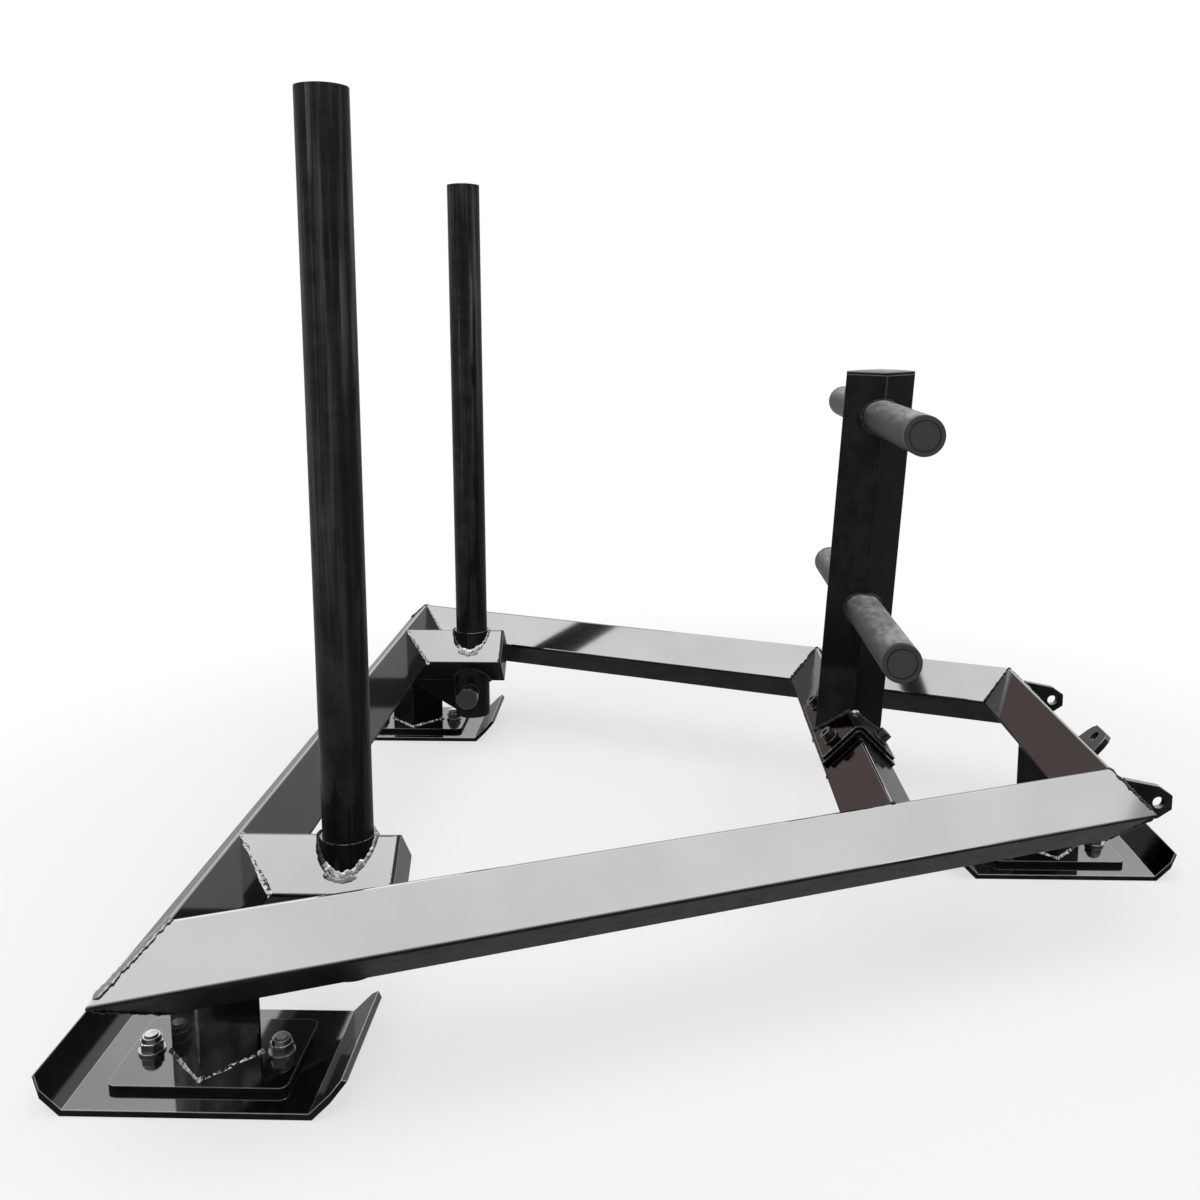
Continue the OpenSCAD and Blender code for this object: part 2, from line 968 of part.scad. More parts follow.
leg_at(rear_x, leg_out) skid();  // left_skid
leg_at(rear_x, -leg_out) skid();  // right_skid
leg_at(front_x, 0) skid();  // front_skid
leg_at(rear_x, leg_out) skid_bolts();  // left_skid_bolts
leg_at(rear_x, -leg_out) skid_bolts();  // right_skid_bolts
leg_at(front_x, 0) skid_bolts();  // front_skid_bolts
leg_at(rear_x, leg_out) skid_washers();  // left_skid_washers
leg_at(rear_x, -leg_out) skid_washers();  // right_skid_washers
leg_at(front_x, 0) skid_washers();  // front_skid_washers
leg_at(rear_x, leg_out) skid_nuts();  // left_skid_nuts
leg_at(rear_x, -leg_out) skid_nuts();  // right_skid_nuts
leg_at(front_x, 0) skid_nuts();  // front_skid_nuts
side(1) tow_lug();  // left_tow_lug
side(-1) tow_lug();  // right_tow_lug
centre_tow_lug();
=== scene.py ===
# %% [markdown]
# # A push and drag sled in gloss black
# The sled is a tapered frame of square steel tube set on edge, with two round
# push poles, a bolted mast with two cross handles, and three bolted skids.
# Its steel was drawn to size elsewhere and comes in as a fixed frame. What is
# left for this lesson is what makes it look made by hand: weld beads, a thick
# gloss coat, knurled handles, bright nuts, and a studio to see them in.

# %% Load the steelwork
import json
import math
import random
import bpy
from mathutils import Matrix, Vector

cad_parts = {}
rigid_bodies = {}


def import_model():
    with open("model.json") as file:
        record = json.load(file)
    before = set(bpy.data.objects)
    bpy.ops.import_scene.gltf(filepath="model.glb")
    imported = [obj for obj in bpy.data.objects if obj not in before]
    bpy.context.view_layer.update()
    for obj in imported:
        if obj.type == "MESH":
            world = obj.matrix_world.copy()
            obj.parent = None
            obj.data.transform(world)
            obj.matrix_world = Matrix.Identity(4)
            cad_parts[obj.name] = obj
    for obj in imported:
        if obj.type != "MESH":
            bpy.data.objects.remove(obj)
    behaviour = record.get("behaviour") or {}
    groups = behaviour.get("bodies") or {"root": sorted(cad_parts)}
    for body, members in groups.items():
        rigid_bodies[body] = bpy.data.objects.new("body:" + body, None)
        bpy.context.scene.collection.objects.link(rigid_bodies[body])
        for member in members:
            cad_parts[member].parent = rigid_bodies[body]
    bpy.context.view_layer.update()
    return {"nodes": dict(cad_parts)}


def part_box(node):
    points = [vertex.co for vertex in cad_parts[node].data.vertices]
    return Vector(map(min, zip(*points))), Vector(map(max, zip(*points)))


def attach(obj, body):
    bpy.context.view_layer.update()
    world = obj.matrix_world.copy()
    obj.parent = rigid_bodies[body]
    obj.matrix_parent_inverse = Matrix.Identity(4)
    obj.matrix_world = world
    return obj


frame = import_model()
steel = frame["nodes"]

# %% [markdown]
# ## Where the photograph was taken from
# The photograph looks along the sled's width from 0.67 m up and about 0.9 m
# beside its near rail. A wide lens that close makes the near rail large and
# the far one small, so the camera's place matters more than its turn. It
# comes first, so that every later piece can be judged.

# %% Camera
PICTURE = 1200
LENS_PIXELS = 1147.76
CENTRE = (629.68, 483.84)
STAND = (-0.04819, -1.4030, 0.6739)
YAW, PITCH = -0.025, 0.141
FILM = 36

level = math.cos(PITCH)
ahead = Vector((math.sin(YAW) * level, math.cos(YAW) * level, -math.sin(PITCH)))
across = Vector((math.cos(YAW), -math.sin(YAW), 0.0))
upward = across.cross(ahead)

bpy.ops.object.select_all(action="DESELECT")
bpy.ops.object.camera_add(location=STAND)
camera = bpy.context.object
camera.name = "sled_camera"
camera.rotation_mode = "QUATERNION"
camera.rotation_quaternion = Matrix((across, upward, -ahead)).transposed().to_quaternion()
camera.data.sensor_width = FILM
camera.data.lens = FILM * LENS_PIXELS / PICTURE
camera.data.shift_x = (PICTURE / 2 - CENTRE[0]) / PICTURE
camera.data.shift_y = (CENTRE[1] - PICTURE / 2) / PICTURE
camera.data.clip_start = 0.05
bpy.context.scene.camera = camera
print("lens", round(camera.data.lens, 2), "mm")

# %% [markdown]
# ## Writing shader sums as plain arithmetic
# A finish is a sum of patterns: a wave here, a scratch there, less of it on
# the side that faces down. Nodes say that slowly, so a small class wraps one
# socket and lets it be added, multiplied and clamped like a number.

# %% Socket helpers
class Wire:
    """One output socket that can stand in a sum."""

    def __init__(self, tree, socket):
        self.tree = tree
        self.socket = socket

    def math(self, operation, first, second=0.0):
        settings = {"operation": operation}
        return self.tree.node("ShaderNodeMath", settings, {0: first, 1: second})[0]

    def __add__(self, other):
        return self.math("ADD", self, other)

    def __sub__(self, other):
        return self.math("SUBTRACT", self, other)

    def __rsub__(self, other):
        return self.math("SUBTRACT", other, self)

    def __mul__(self, other):
        return self.math("MULTIPLY", self, other)

    __radd__ = __add__
    __rmul__ = __mul__

    def sine(self):
        return self.math("SINE", self)

    def absolute(self):
        return self.math("ABSOLUTE", self)

    def between(self, low, high):
        """0 below low, 1 above high and a smooth step between them."""
        settings = {"interpolation_type": "SMOOTHSTEP"}
        sockets = {"Value": self, "From Min": low, "From Max": high}
        return self.tree.node("ShaderNodeMapRange", settings, sockets)[0]


class Outputs:
    """The outputs of one node, by number or by name."""

    def __init__(self, tree, made):
        self.tree = tree
        self.made = made

    def __getitem__(self, key):
        return Wire(self.tree, self.made.outputs[key])


print("socket helpers ready")

# %% [markdown]
# ## A tree of nodes and a finish
# A material and the studio's world are both trees of nodes. One class makes
# any node from its type, its settings and what goes into its sockets. A
# finish is such a tree inside a material, and adds the patterns and the bumps
# that the finishes share.

# %% Tree and finish helpers
class Tree:
    """An emptied node tree that nodes are added to."""

    def __init__(self, tree):
        self.tree = tree
        self.tree.nodes.clear()

    def node(self, kind, settings=None, sockets=None):
        """Makes a node and returns its outputs."""
        made = self.tree.nodes.new(kind)
        for name, value in (settings or {}).items():
            setattr(made, name, value)
        for key, value in (sockets or {}).items():
            if isinstance(value, Wire):
                self.tree.links.new(value.socket, made.inputs[key])
            else:
                made.inputs[key].default_value = value
        return Outputs(self, made)


class Finish(Tree):
    """One procedural material."""

    def __init__(self, name):
        self.material = bpy.data.materials.new(name)
        self.material.use_nodes = True
        super().__init__(self.material.node_tree)

    def place(self, centre=(0, 0, 0), scale=(1, 1, 1)):
        """Object coordinates in metres, centred and scaled."""
        at = self.node("ShaderNodeTexCoord")["Object"]
        moved = {"Vector": at, 1: tuple(-c * s for c, s in zip(centre, scale)), "Scale": scale}
        return self.node("ShaderNodeMapping", None, moved)[0]

    def facing(self):
        """The way that the surface lies."""
        return self.node("ShaderNodeNewGeometry")["Normal"]

    def rounded(self, radius):
        """The same, drawn round the edges over a radius in metres."""
        return self.node("ShaderNodeBevel", {"samples": 6}, {"Radius": radius})["Normal"]

    def split(self, vector):
        """A vector's X, Y and Z."""
        return self.node("ShaderNodeSeparateXYZ", None, {0: vector})

    def along(self, kind, first, second=(0, 0, 0)):
        """A vector sum that gives one number, such as a dot product."""
        return self.node("ShaderNodeVectorMath", {"operation": kind}, {0: first, 1: second})["Value"]

    def noise(self, where, scale, detail=2.0, roughness=0.5):
        sockets = {"Vector": where, "Scale": scale, "Detail": detail, "Roughness": roughness}
        return self.node("ShaderNodeTexNoise", None, sockets)[0]

    def blend(self, mask, first, second):
        """A colour that goes from first to second with the mask."""
        settings = {"data_type": "RGBA"}
        return self.node("ShaderNodeMix", settings, {0: mask, 6: first, 7: second})[2]

    def bump(self, height, distance, strength=1.0, below=None):
        sockets = {"Height": height, "Distance": distance, "Strength": strength}
        if below is not None:
            sockets["Normal"] = below
        return self.node("ShaderNodeBump", None, sockets)[0]

    def surface(self, sockets):
        shader = self.node("ShaderNodeBsdfPrincipled", None, sockets)["BSDF"]
        self.node("ShaderNodeOutputMaterial", None, {"Surface": shader})
        return self.material


def grey(value, warm=0.0):
    """A grey of one brightness, with a little warmth if asked."""
    return (value * (1 + warm), value, value * (1 - warm), 1.0)


print("finish helpers ready")

# %% [markdown]
# ## The gloss black coat
# The real sled wears a thick, very glossy black coat. It runs a little before
# it hardens, so its flanks mirror the ceiling in slow waves, and it settles
# best on the faces that lay upwards. Sides and undersides are duller, and so
# are the flanks of the rails that run across the sled. So the colour is
# nearly black everywhere, a clear coat carries the gloss, and the face's own
# tilt says how much of it there is. A coat is never sharp at an edge: it draws
# round the corner in a bead that catches the light. A bevelled normal gives
# every edge that thin bright line, and leaves the drawn steel as it is.

# %% Black coat
# Browns for a painted reflection: colours of a metal that stands in for what the back flanks of some
# pieces mirror.
BROWN_REFLECTION = (0.067, 0.054, 0.052, 1.0)
DARK_BROWN_REFLECTION = (0.045, 0.038, 0.036, 1.0)
DEEP_BROWN_REFLECTION = (0.022, 0.017, 0.016, 1.0)
GRAZING = (0.547, 0.529, 0.529, 1.0)
WORN = grey(0.16)
# A pale grey for a painted highlight along edges.
EDGE_HIGHLIGHT_GREY = grey(0.5)


def black_coat(name, sides=0.022, front=0.28, back=0.28, ends=0.0, gain=1.0,
               edge=0.0013, rim=0.45, edge_highlight=0.0, ridge=0.0, corner=0.0, streaks=0.0,
               tone=0.006, spec=0.02, reflection_tint=None, pale_reflection=0.22):
    """Gloss by the way a face lies.

    Sides is the gloss of upright faces, front and back what is left of it on
    flanks that face +X and -X, ends that of faces square to X, ridge that of
    level strips, corner that of the upright corner towards -Y, streaks that
    of runs down a pole, and gain scales the whole. Edges are rounded over
    edge metres, where rim adds gloss and the edge line setting paints a pale
    painted highlight along the upper edges. Tone is how bright the black is
    and spec how much it shines by itself. With a reflection colour, the back
    flanks that lie upwards turn to a metal of that colour, a painted brown
    reflection, and past a slanting line to a metal of the pale grey, a paler
    painted reflection.
    """
    coat = Finish(name)
    at = coat.place()
    spot = coat.split(at)
    flat = coat.facing()
    soft = coat.rounded(edge) if edge else flat
    tilt = coat.split(soft)
    lying = tilt["Z"].between(0.3, 0.62)
    to_front = tilt["X"].between(0.4, 0.66)
    to_back = (0.0 - tilt["X"]).between(0.4, 0.66)
    patches = coat.noise(at, 6.0, 3.0).between(0.3, 0.7)
    dust = coat.noise(at, 60.0, 5.0, 0.65).between(0.52, 0.8)
    blots = coat.noise(at, 34.0, 4.0, 0.62).between(0.36, 0.68)
    gloss = lying + (1.0 - lying) * (0.45 + blots * 1.1) * sides
    gloss = gloss * (1.0 - to_front * (1.0 - front)) * (1.0 - to_back * lying * (1.0 - back))
    gloss = gloss * (0.88 + patches * 0.12) * gain
    if ends:
        brushed = coat.noise(coat.place(scale=(1.0, 1.0, 0.15)), 260.0, 3.0, 0.6)
        gloss = gloss + tilt["X"].absolute().between(0.85, 0.97) * (0.55 + brushed * 0.9) * ends
    if streaks:
        height = spot["Z"].between(0.25, 0.9)
        runs = coat.noise(coat.place(scale=(1.0, 1.0, 0.03)), 110.0, 3.0, 0.6).between(0.45, 0.75)
        gloss = gloss + runs * (0.15 + height * 0.85) * streaks
    lacquer_and_painted_light = coat.blend(dust, grey(tone), grey(tone * 1.9))
    # Painted reflection: back flanks that lie upwards become a brown metal, and past a slanting line a
    # pale grey one.
    reflection_mask = 0.0
    if reflection_tint:
        reflection_mask = to_back * lying
        past_reflection_line = (spot["Y"] - spot["Z"] * 2.0).between(-0.212, -0.194)
        lacquer_and_painted_light = coat.blend(reflection_mask, lacquer_and_painted_light, coat.blend(past_reflection_line, reflection_tint, grey(pale_reflection)))
    if edge:
        edges = (1.0 - coat.along("DOT_PRODUCT", soft, flat)).between(0.0, 0.08)
        edges = edges * tilt["Z"].between(0.0, 0.4)
        worn = edges * coat.noise(at, 45.0, 4.0, 0.7).between(0.46, 0.7)
        lacquer_and_painted_light = coat.blend(worn, lacquer_and_painted_light, WORN)
        # Painted highlight: a pale line painted along the upper edges.
        if edge_highlight:
            lacquer_and_painted_light = coat.blend(edges * edge_highlight, lacquer_and_painted_light, EDGE_HIGHLIGHT_GREY)
        gloss = gloss + edges * rim
    if ridge:
        gloss = gloss + tilt["Z"].between(0.78, 0.93) * ridge
    if corner:
        upper = spot["Z"].between(0.5, 0.61)
        gloss = gloss + (0.0 - tilt["Y"]).between(0.84, 0.97) * (0.12 + upper * 0.88) * corner
    flow = coat.bump(coat.noise(at, 9.0, 1.0), 0.0011, 1.0, soft)
    skin = coat.bump(coat.noise(at, 900.0, 2.0), 0.00003, 0.5, flow)
    return coat.surface({
        "Base Color": lacquer_and_painted_light,
        "Metallic": reflection_mask,
        "Roughness": 0.42 + dust * 0.2 - reflection_mask * 0.34,
        "Specular IOR Level": spec,
        "Specular Tint": GRAZING if reflection_tint else grey(1.0),
        "Coat Weight": gloss,
        "Coat Roughness": 0.07,
        "Coat IOR": 3.0,
        "Normal": skin,
    })


print("black coat ready")

# %% [markdown]
# ## One coat for each kind of piece
# The whole sled was coated at once, but it doesn't shine the same all over.
# The cross rails, the saddle and the front skid carry a painted brown
# reflection on their back flanks, and the cross rails a paler painted
# reflection past a slanting line. Feet, skids and saddle carry a painted
# highlight along their edges, the near leg is glossier than the others, and
# runs show down the poles. Each kind of piece gets the same coat with its own
# settings, so that they still look like one sled.

# %% Coats
frame_coat = black_coat("gloss_black_coat")
rail_coat = black_coat("gloss_black_coat_on_rails", ridge=0.5)
# Painted brown reflections on the back flanks of the cross rails, saddle and front skid, and painted
# highlights along the edges of saddle and front skid.
cross_coat = black_coat(
    "gloss_black_coat_on_cross_rails", front=0.31, back=0.0, ridge=0.45, tone=0.007, reflection_tint=BROWN_REFLECTION)
saddle_coat = black_coat(
    "gloss_black_coat_on_saddle", front=0.26, back=0.0, edge=0.0017, rim=1.5, edge_highlight=0.6,
    reflection_tint=DARK_BROWN_REFLECTION)
front_skid_coat = black_coat(
    "gloss_black_coat_on_front_skid", front=0.26, back=0.0, edge=0.0022, rim=0.7, edge_highlight=0.5,
    reflection_tint=DEEP_BROWN_REFLECTION, pale_reflection=0.022)
# Painted highlight along the edges of the feet and skids.
foot_coat = black_coat("gloss_black_coat_on_feet", edge=0.0016, rim=0.6, edge_highlight=0.6)
near_leg_coat = black_coat("gloss_black_coat_on_near_leg", sides=0.26)
gusset_coat = black_coat("gloss_black_coat_on_gussets", gain=0.08, rim=0.0)
mast_coat = black_coat("gloss_black_coat_on_mast", corner=0.09)
mast_cap_coat = black_coat("gloss_black_coat_on_mast_cap", gain=0.55, edge=0.0016, tone=0.012)
socket_coat = black_coat("gloss_black_coat_on_sockets", edge=0.0018, rim=0.8, spec=0.03)
stub_cap_coat = black_coat("gloss_black_coat_on_stub_caps", gain=0.04, ends=0.22, tone=0.01)
pole_coat = black_coat(
    "gloss_black_coat_on_poles", sides=0.03, edge=0.0, streaks=0.24, tone=0.0045, spec=0.05)
print("coats:", sum(m.name.startswith("gloss_black_coat") for m in bpy.data.materials))

# %% [markdown]
# ## Knurled handles
# The handles are dark knurled steel: two sets of fine grooves wind round them
# both ways and leave small diamonds, and hands have rubbed slanting patches
# dull. Their side that faces up and towards +X is painted lighter and their
# underside darker, painted light and shade, both in the diamonds and in the
# grooves. Real grooves that fine would cost a great many faces, so two waves
# make them as a bump. The pattern is centred on its own handle, because the
# grooves wind round its axis.

# %% Knurled steel
GROOVE_GAP = 0.0021
GROOVE_RUN = 0.0027


def knurled_steel(name, node):
    low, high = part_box(node)
    centre = (low + high) / 2
    radius = (high.z - low.z) / 2
    bar = Finish(name)
    at = bar.place(centre=centre)
    parts = bar.split(at)
    turn = parts["Z"].math("ARCTAN2", parts["Z"], parts["X"])
    starts = round(2 * math.pi * radius / GROOVE_GAP)
    run = parts["Y"] * (2 * math.pi / GROOVE_RUN)
    one_way = (turn * starts + run).sine().absolute()
    other_way = (turn * starts - run).sine().absolute()
    diamonds = (one_way * other_way).between(0.0, 0.55)
    grime = bar.noise(at, 38.0, 4.0, 0.6).between(0.35, 0.72)
    rubbed = bar.noise(at, 9.0, 2.0).between(0.3, 0.7)
    slant = {"Vector": at, "Rotation": (0.5, 0.0, 0.7), "Scale": (95.0, 30.0, 95.0)}
    slanted = bar.node("ShaderNodeMapping", None, slant)[0]
    handled = bar.noise(slanted, 1.0, 4.0, 0.65).between(0.36, 0.66)
    # Painted light and shade: the upper side, towards +X, is lighter and the underside darker.
    upper = bar.along("DOT_PRODUCT", bar.facing(), (0.4, 0.0, 0.92)).between(-0.3, 0.9)
    tone = bar.blend(grime, grey(0.84), grey(0.42))
    dulled = bar.blend(handled * 0.75, tone, grey(0.085))
    lit_and_shaded_steel = bar.blend(upper, grey(0.03), dulled)
    lit_and_shaded_grooves = bar.blend(upper, grey(0.02), grey(0.1))
    return bar.surface({
        "Base Color": bar.blend(diamonds * (0.6 + rubbed * 0.4), lit_and_shaded_grooves, lit_and_shaded_steel),
        "Metallic": 0.05,
        "Specular IOR Level": 0.1,
        "Roughness": 0.55 - diamonds * 0.12,
        "Normal": bar.bump(diamonds, 0.00035, 0.8),
    })


upper_knurl = knurled_steel("knurled_steel_upper", "upper_handle")
lower_knurl = knurled_steel("knurled_steel_lower", "lower_handle")
print("knurled steel ready")

# %% [markdown]
# ## Bolts and plastic
# The skids' nuts and washers are zinc plated. Their tops are painted bright
# and their sides painted dark, painted light and a painted reflection of the
# black plate. The mast's screws are oiled black, with a painted highlight
# along their edges. Plugs and knobs are moulded plastic with a fine grain and
# a few scuffs.

# %% Metals and plastics
def zinc_plate(name):
    plate = Finish(name)
    at = plate.place()
    spangle = plate.noise(at, 420.0, 3.0)
    stain = plate.noise(at, 90.0, 4.0).between(0.45, 0.75)
    rounded = plate.rounded(0.0009)
    # Painted light and shade: tops bright, and sides a dark painted reflection of the black plate.
    top = plate.split(rounded)["Z"].between(0.35, 0.85)
    bright = plate.blend(stain, grey(0.72, 0.01), grey(0.46, 0.03))
    return plate.surface({
        "Base Color": plate.blend(top, grey(0.085, 0.02), bright),
        "Metallic": 1.0,
        "Roughness": 0.22 + spangle * 0.14 + stain * 0.12,
        "Normal": plate.bump(spangle, 0.00006, 0.6, rounded),
    })


def oiled_black(name):
    oxide = Finish(name)
    grain = oxide.noise(oxide.place(), 700.0, 3.0)
    rounded = oxide.rounded(0.0005)
    # Painted highlight: a pale line painted along the edges.
    edges = (1.0 - oxide.along("DOT_PRODUCT", rounded, oxide.facing())).between(0.0, 0.1)
    black = oxide.blend(grain.between(0.4, 0.7), grey(0.009), grey(0.022))
    return oxide.surface({
        "Base Color": oxide.blend(edges * 0.7, black, EDGE_HIGHLIGHT_GREY),
        "Metallic": 0.6,
        "Roughness": 0.22 + grain * 0.16,
        "Normal": oxide.bump(grain, 0.00004, 0.5, rounded),
    })


def moulded_plastic(name, tone, rough=0.45):
    moulding = Finish(name)
    at = moulding.place()
    grain = moulding.noise(at, 1500.0, 2.0)
    scuff = moulding.noise(at, 120.0, 5.0, 0.7).between(0.55, 0.8)
    return moulding.surface({
        "Base Color": moulding.blend(scuff, grey(tone), grey(tone * 1.6)),
        "Roughness": rough + grain * 0.12,
        "Specular IOR Level": 0.4,
        "Normal": moulding.bump(grain, 0.00003, 0.6),
    })


zinc = zinc_plate("zinc_plate")
oiled_steel = oiled_black("oiled_black_steel")
plug_plastic = moulded_plastic("plug_plastic", 0.018)
knob_plastic = moulded_plastic("knob_plastic", 0.01, 0.2)
print("metals and plastics ready")

# %% [markdown]
# ## Dressing the steelwork
# Every steel piece already has a slot for its material, so a finish is
# assigned there and the mesh is left as it is. Names do the sorting: first a
# few pieces by their whole name, and then the rest by how their name ends.

# %% Assign the finishes
BY_NAME = {
    "upper_handle": upper_knurl,
    "lower_handle": lower_knurl,
    "saddle_screws": oiled_steel,
    "saddle_washers": oiled_steel,
    "saddle_nuts": oiled_steel,
    "mid_rail": cross_coat,
    "front_rail": cross_coat,
    "front_skid": front_skid_coat,
    "right_leg": near_leg_coat,
    "mast": mast_coat,
    "mast_cap": mast_cap_coat,
}
BY_ENDING = {
    "plug": plug_plastic,
    "knob": knob_plastic,
    "lock_screw": oiled_steel,
    "washers": zinc,
    "nuts": zinc,
    "bolts": zinc,
    "rail": rail_coat,
    "saddle": saddle_coat,
    "gusset": gusset_coat,
    "foot_plate": foot_coat,
    "skid": foot_coat,
    "socket": socket_coat,
    "stub_cap": stub_cap_coat,
    "pole": pole_coat,
    "pole_cap": pole_coat,
}


def finish_of(name):
    if name in BY_NAME:
        return BY_NAME[name]
    for ending, finish in BY_ENDING.items():
        if name.endswith(ending):
            return finish
    return frame_coat


for name, piece in steel.items():
    if not piece.data.materials:
        piece.data.materials.append(None)
    for place in range(len(piece.data.materials)):
        piece.data.materials[place] = finish_of(name)
print("dressed", len(steel), "pieces")

# %% [markdown]
# ## The coat over a weld
# The same black coat lies over the weld beads. Their crests face the ceiling
# and mirror it, their steep sides stay black, and that contrast draws every
# ripple. Here and there the coat is stretched so thin that bare metal glints
# through, and small craters of the weld show as a fine roughness.

# %% Weld coats
LEAST_COAT = 0.03


def coat_over_weld(name, crest=1.0, glint=0.42, spec=0.5):
    """Crest is the gloss on top of the ripples and glint how bright the bare spots are."""
    coat = Finish(name)
    at = coat.place()
    craters = coat.noise(at, 620.0, 3.0)
    crests = coat.split(coat.facing())["Z"].between(0.1, 0.55)
    bare = coat.noise(at, 210.0, 3.0, 0.6).between(0.5, 0.62) * crests
    return coat.surface({
        "Base Color": coat.blend(bare, grey(0.008), grey(glint)),
        "Metallic": bare * 0.8,
        "Roughness": 0.34,
        "Specular IOR Level": spec,
        "Coat Weight": crests * (crest - LEAST_COAT) + LEAST_COAT,
        "Coat Roughness": 0.09,
        "Coat IOR": 2.6,
        "Normal": coat.bump(craters, 0.00016, 0.6),
    })


weld_coat = coat_over_weld("coat_over_weld")
seam_weld_coat = coat_over_weld("coat_over_seam_weld", crest=0.85, glint=0.12)
# A darker copy of the weld coat, painted shade, for welds that lie in shade: less gloss and darker
# bare spots.
shaded_weld_coat = coat_over_weld("coat_over_shaded_weld", crest=0.08, glint=0.02, spec=0.1)
print("weld coats ready")

# %% [markdown]
# ## One ripple of weld
# A weld bead is a row of small puddles, each frozen over the edge of the one
# before. On the sled they show everywhere as bright lumps under the coat. A
# single puddle is modelled from a small sphere: flattened, and drawn out at
# its trailing end. Every bead is laid from copies of it.

# %% Model one ripple
FLATTENED = (0.8, 1.0, 0.62)
DRAWN_OUT = (1.35, 0.8, 0.7)
TAIL_FROM = -0.12

bpy.ops.object.select_all(action="DESELECT")
bpy.ops.mesh.primitive_uv_sphere_add(segments=10, ring_count=6, radius=0.5)
ripple = bpy.context.object
ripple.name = "weld_ripple"
bpy.ops.object.mode_set(mode="EDIT")
bpy.ops.mesh.select_all(action="SELECT")
bpy.ops.transform.resize(value=FLATTENED)
bpy.ops.mesh.select_all(action="DESELECT")
bpy.ops.object.mode_set(mode="OBJECT")
for corner in ripple.data.vertices:
    corner.select = corner.co.x < TAIL_FROM
bpy.ops.object.mode_set(mode="EDIT")
bpy.ops.transform.resize(value=DRAWN_OUT)
bpy.ops.object.mode_set(mode="OBJECT")
print("ripple has", len(ripple.data.polygons), "faces")

# %% [markdown]
# ## Laying a bead
# The welder's path is a row of points on the seam, with the way that the bead
# faces. Ripples are copied along it, each a little off in size, place and
# turn, as a hand would leave them. A voxel remesh then fuses them into one
# closed skin, and a light smoothing lets it flow.

# %% Bead maker
def spaced(path, pitch):
    """Points at even steps along a path, with their direction."""
    steps = []
    left = 0.0
    for start, end in zip(path, path[1:]):
        leg = end - start
        length = leg.length
        run = left
        while run < length:
            steps.append((start + leg * (run / length), leg.normalized()))
            run += pitch
        left = run - length
    return steps


def lay_ripple(hand, at, along, outward, width, flat, calm):
    """One puddle at its place, a little off as the hand that laid it."""
    outward = (outward - along * outward.dot(along)).normalized()
    aside = outward.cross(along)
    turned = Matrix((along, aside, outward)).transposed().to_4x4()
    size = width * hand.uniform(0.78, 1.2)
    drift = width / calm
    sideways = aside * hand.uniform(-0.13, 0.13) * drift
    in_or_out = outward * hand.uniform(-0.08, 0.08) * drift * flat
    wobble = Matrix.Rotation(hand.uniform(-0.5, 0.5) / calm, 4, "Z")
    shape = Matrix.Diagonal((size, size, size * flat, 1.0))
    puddle = ripple.copy()
    puddle.data = ripple.data.copy()
    moved = Matrix.Translation(at + (sideways + in_or_out))
    puddle.data.transform(moved @ turned @ shape @ wobble)
    bpy.context.collection.objects.link(puddle)
    puddle.select_set(True)
    return puddle


def lay_bead(name, path, faces, width=0.0065, finish=weld_coat, flat=1.0, calm=1.0):
    """Flat squashes the bead onto its seam, and calm over 1 evens out its ripples."""
    hand = random.Random(name)
    bpy.ops.object.select_all(action="DESELECT")
    copies = []
    for at, along in spaced([Vector(p) for p in path], width * 0.5 / calm):
        outward = faces(at) if callable(faces) else Vector(faces)
        copies.append(lay_ripple(hand, at, along, outward, width, flat, calm))
    bpy.context.view_layer.objects.active = copies[0]
    bpy.ops.object.join()
    bead = bpy.context.object
    bead.name = name
    fused = bead.modifiers.new("fused", "REMESH")
    fused.mode = "VOXEL"
    fused.voxel_size = width * 0.09
    fused.use_smooth_shade = True
    flowed = bead.modifiers.new("flowed", "SMOOTH")
    flowed.factor = 0.5
    flowed.iterations = round(1 + 3 * (calm - 1))
    bpy.ops.object.modifier_apply(modifier="fused")
    bpy.ops.object.modifier_apply(modifier="flowed")
    bead.data.materials.clear()
    bead.data.materials.append(finish)
    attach(bead, "sled")


print("bead maker ready")

# %% [markdown]
# ## Seams of the frame
# The tube stands on edge, so each mitre is a diamond: ridge, outer edge, keel
# and inner edge. The sizes of the frame, in metres, give those four points,
# and the beads run between them. They stop a little short of the outer edge,
# as a welder does who grinds the corner round afterwards. On top, the rear
# seams show wider and brighter than the front ones, so they get other beads.

# %% Corner seams
TUBE = 0.06
HALF = TUBE / math.sqrt(2)
ROUND = 0.00125
AXIS_Z = 0.145
REAR_X, FRONT_X = -0.45, 0.45
REAR_HALF, FRONT_HALF = 0.53, 0.185
SLANT = math.atan2(REAR_HALF - FRONT_HALF, FRONT_X - REAR_X)
SIDES = ((1, "left"), (-1, "right"))
TOP_STOP, UNDER_STOP = 0.84, 0.87
CORNERS = (
    ("rear", REAR_X, REAR_HALF, -1,
     {"width": 0.0098, "finish": seam_weld_coat, "flat": 0.4, "calm": 2.6},
     {"width": 0.0065, "finish": shaded_weld_coat, "flat": 0.6}),
    ("front", FRONT_X, FRONT_HALF, 1,
     {"width": 0.0056, "finish": shaded_weld_coat, "flat": 0.9},
     {"width": 0.005, "finish": shaded_weld_coat, "flat": 0.9}),
)


def mirrored(points, side):
    """The points of the left side, or the same on the right."""
    return [Vector((p[0], p[1] * side, p[2])) for p in points]


